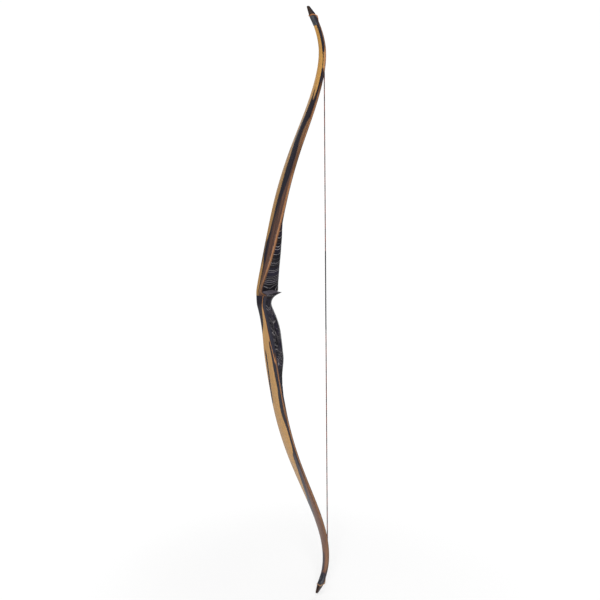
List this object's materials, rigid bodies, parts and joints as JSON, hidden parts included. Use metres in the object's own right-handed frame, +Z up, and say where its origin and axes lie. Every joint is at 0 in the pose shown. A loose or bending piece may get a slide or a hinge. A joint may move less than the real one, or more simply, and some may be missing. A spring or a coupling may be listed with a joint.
{
  "type": "recurve bow",
  "caption": "Strung one-piece recurve bow with laminated recurved limbs, a sculpted wooden handle with a cut-away arrow shelf and sight window, and a twisted string with loops and serving.",
  "frame": {"origin": "deepest point of the grip's throat on the belly side, in the bow's middle plane", "axes": "+X from the bow to the string and the archer, +Z up along the bow, -Y towards the archer's left, where the sight window is cut"},
  "size_m": [0.2169, 0.0382, 1.4721],
  "materials": {
    "riser_wood": "gloss lacquer over dark dyed laminated hardwood",
    "core_wood": "gloss lacquer over brown limb core",
    "back_veneer": "figured golden and dark heartwood veneer",
    "belly_veneer": "dark veneer",
    "clear_glass_laminate": "clear fibreglass laminate, gloss",
    "tip_overlay": "gloss black overlay",
    "string_fibre": "waxed two-colour twisted string",
    "serving_thread": "wound serving thread"
  },
  "bodies": {
    "riser": {"riser_block": "riser_wood", "back_glass_centre": "clear_glass_laminate", "upper_back_veneer_root": "back_veneer", "upper_back_core_root": "core_wood", "upper_belly_core_root": "core_wood", "upper_belly_veneer_root": "belly_veneer", "upper_belly_glass_root": "clear_glass_laminate", "lower_back_veneer_root": "back_veneer", "lower_back_core_root": "core_wood", "lower_belly_core_root": "core_wood", "lower_belly_veneer_root": "belly_veneer", "lower_belly_glass_root": "clear_glass_laminate"},
    "upper_limb": {"upper_back_glass": "clear_glass_laminate", "upper_back_veneer": "back_veneer", "upper_back_core": "core_wood", "upper_belly_core": "core_wood", "upper_belly_veneer": "belly_veneer", "upper_belly_glass": "clear_glass_laminate", "upper_tip_overlay": "tip_overlay", "upper_string_loop": "string_fibre"},
    "lower_limb": {"lower_back_glass": "clear_glass_laminate", "lower_back_veneer": "back_veneer", "lower_back_core": "core_wood", "lower_belly_core": "core_wood", "lower_belly_veneer": "belly_veneer", "lower_belly_glass": "clear_glass_laminate", "lower_tip_overlay": "tip_overlay", "lower_string_loop": "string_fibre"},
    "upper_string_end": {"upper_string_splice": "string_fibre"},
    "lower_string_end": {"lower_string_splice": "string_fibre"},
    "upper_string_half": {"upper_string": "string_fibre", "upper_serving": "serving_thread"},
    "lower_string_half": {"lower_string": "string_fibre", "lower_serving": "serving_thread"}
  },
  "joints": [
    {"name": "upper_limb_flex", "type": "hinge", "parent": "riser", "child": "upper_limb", "pos_m": [0.05823, 0, 0.29412], "axis": [0, 1, 0], "range_deg": [0, 28.08], "stiffness_Nm_per_rad": 120},
    {"name": "lower_limb_flex", "type": "hinge", "parent": "riser", "child": "lower_limb", "pos_m": [0.04306, 0, -0.31063], "axis": [0, -1, 0], "range_deg": [0, 22.42], "stiffness_Nm_per_rad": 150},
    {"name": "upper_string_lift", "type": "hinge", "parent": "upper_limb", "child": "upper_string_end", "pos_m": [0.15325, 0, 0.68707], "axis": [0, -1, 0], "range_deg": [0, 40.7], "deforming": ["upper_string_splice"]},
    {"name": "lower_string_lift", "type": "hinge", "parent": "lower_limb", "child": "lower_string_end", "pos_m": [0.16289, 0, -0.74574], "axis": [0, 1, 0], "range_deg": [0, 34.6], "deforming": ["lower_string_splice"]},
    {"name": "upper_string_swing", "type": "hinge", "parent": "upper_string_end", "child": "upper_string_half", "pos_m": [0.18181, 0, 0.60332], "axis": [0, -1, 0], "range_deg": [0, 18.95], "deforming": ["upper_string", "upper_serving"]},
    {"name": "lower_string_swing", "type": "hinge", "parent": "lower_string_end", "child": "lower_string_half", "pos_m": [0.18002, 0, -0.67693], "axis": [0, 1, 0], "range_deg": [0, 13.95], "deforming": ["lower_string", "lower_serving"]}
  ],
  "couplings": [
    {"joint": "lower_limb_flex", "follows": "upper_limb_flex", "ratio": 0.7983},
    {"joint": "upper_string_lift", "follows": "upper_limb_flex", "ratio": 1.4493},
    {"joint": "lower_string_lift", "follows": "upper_limb_flex", "ratio": 1.2319},
    {"joint": "upper_string_swing", "follows": "upper_limb_flex", "ratio": 0.6734},
    {"joint": "lower_string_swing", "follows": "upper_limb_flex", "ratio": 0.495}
  ]
}
